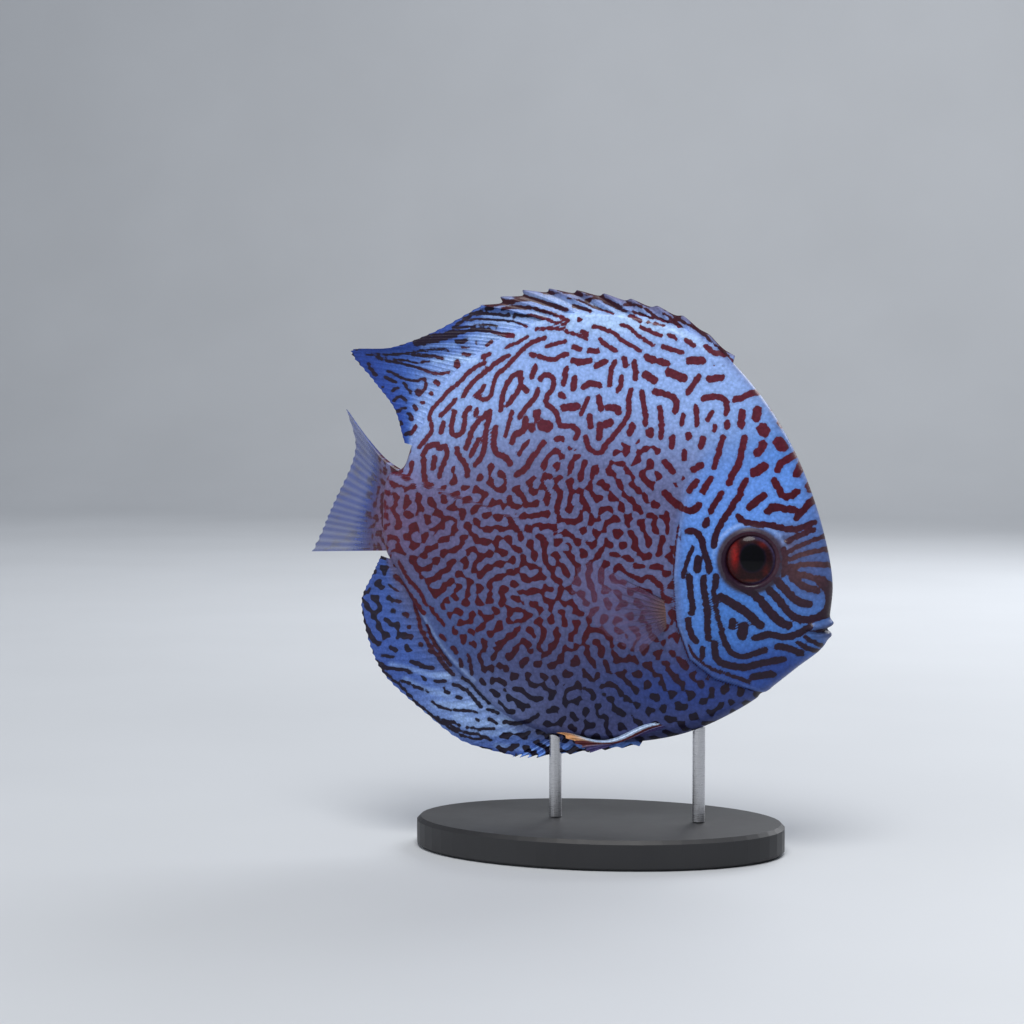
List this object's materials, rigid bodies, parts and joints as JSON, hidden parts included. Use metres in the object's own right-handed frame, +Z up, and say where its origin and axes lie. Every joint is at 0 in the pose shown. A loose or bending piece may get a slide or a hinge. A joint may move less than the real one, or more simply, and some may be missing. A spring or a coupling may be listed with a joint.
{
  "type": "discus fish display model",
  "caption": "Life-size still model of a live discus fish with blue and maroon markings, head slightly down, held by two short rods on a flat oval stand.",
  "frame": {"origin": "centre of the stand's flat underside, on the fish's middle plane", "axes": "+X towards the snout, +Y towards the fish's left side, +Z up"},
  "size_m": [0.1524, 0.064, 0.1505],
  "materials": {
    "skin": "wet satin fish skin: pale lavender blue with maroon worm lines and spots, azure face, deep blue belly",
    "eye": "glossy clear dome over a dark pupil and a red-maroon iris",
    "fin": "satin fin membrane with rays, pale blue with dark streaks",
    "clear_fin": "see-through fin membrane with fine rays",
    "stand_base": "satin black moulded base",
    "stand_rod": "brushed steel"
  },
  "bodies": {
    "root": {"head": "skin", "upper_jaw": "skin", "lower_jaw": "skin", "gill_cover_left": "skin", "gill_cover_right": "skin", "trunk": "skin", "tail_stalk": "skin", "eye_left": "eye", "eye_right": "eye", "dorsal_fin_spines": "fin", "dorsal_fin_rays": "fin", "anal_fin_spines": "fin", "anal_fin_rays": "fin", "caudal_fin": "clear_fin", "pectoral_fin_left": "clear_fin", "pectoral_fin_right": "clear_fin", "pelvic_fin_left": "fin", "pelvic_fin_right": "fin", "stand_base": "stand_base", "stand_rod_front": "stand_rod", "stand_rod_rear": "stand_rod"}
  },
  "joints": []
}
